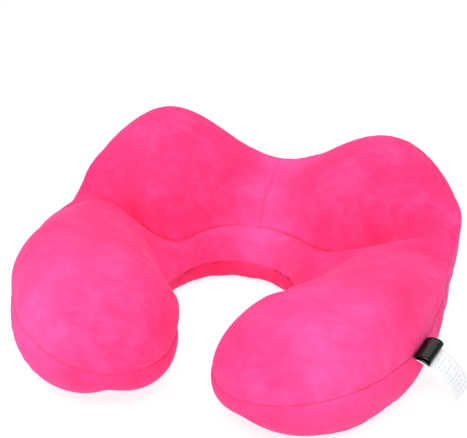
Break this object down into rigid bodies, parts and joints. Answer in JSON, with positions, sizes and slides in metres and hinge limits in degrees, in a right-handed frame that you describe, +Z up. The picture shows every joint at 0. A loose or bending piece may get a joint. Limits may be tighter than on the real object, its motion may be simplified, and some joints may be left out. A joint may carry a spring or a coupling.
{
  "type": "u shaped neck pillow",
  "caption": "Inflatable U-shaped travel neck pillow with a raised twin-hump backrest in a zipped velour cover, with blow valve, satin tab and care label.",
  "frame": {"origin": "centre of the overall box at the height of the table the pillow lies on; the pillow's plane of symmetry is x = -18 mm", "axes": "+X to the wearer's right, +Y towards the nape side (the humps), +Z up; the arms open towards -Y"},
  "size_m": [0.4674, 0.3852, 0.1553],
  "materials": {
    "velour": "short soft pile",
    "bladder_film": "matt flexible film",
    "zip_tape": "woven tape",
    "zip_coil": "nylon coil",
    "zip_metal": "enamelled",
    "valve_plastic": "moulded",
    "black_satin": "glossy satin ribbon",
    "white_satin": "satin ribbon"
  },
  "bodies": {
    "pillow": {"top_panel": "velour", "neck_band": "velour", "bottom_panel": "velour", "side_band_left": "velour", "side_band_right": "velour", "back_panel": "velour", "backrest_front_left": "velour", "backrest_front_right": "velour", "bladder_ring": "bladder_film", "bladder_backrest": "bladder_film", "zip_tape_upper": "zip_tape", "zip_tape_lower": "zip_tape", "zip_coil": "zip_coil", "zip_stop_left": "zip_coil", "zip_stop_right": "zip_coil", "valve_body": "valve_plastic", "valve_flap": "valve_plastic", "side_tab": "black_satin", "care_label": "white_satin"},
    "slider": {"zip_slider": "zip_metal"},
    "pull": {"zip_pull": "zip_metal"},
    "cap": {"valve_cap": "valve_plastic"}
  },
  "joints": [
    {"name": "zip_slide", "type": "slide", "parent": "pillow", "child": "slider", "axis": [-1, 0, 0], "range_m": [0, 0.179]},
    {"name": "pull_swing", "type": "hinge", "parent": "slider", "child": "pull", "pos_m": [0.0715, 0.19005, 0.04], "axis": [0, 0, 1], "range_deg": [0, 160]},
    {"name": "cap_open", "type": "hinge", "parent": "pillow", "child": "cap", "pos_m": [-0.23408, -0.011, 0.0323], "axis": [0, -1, 0], "range_deg": [0, 105]}
  ]
}
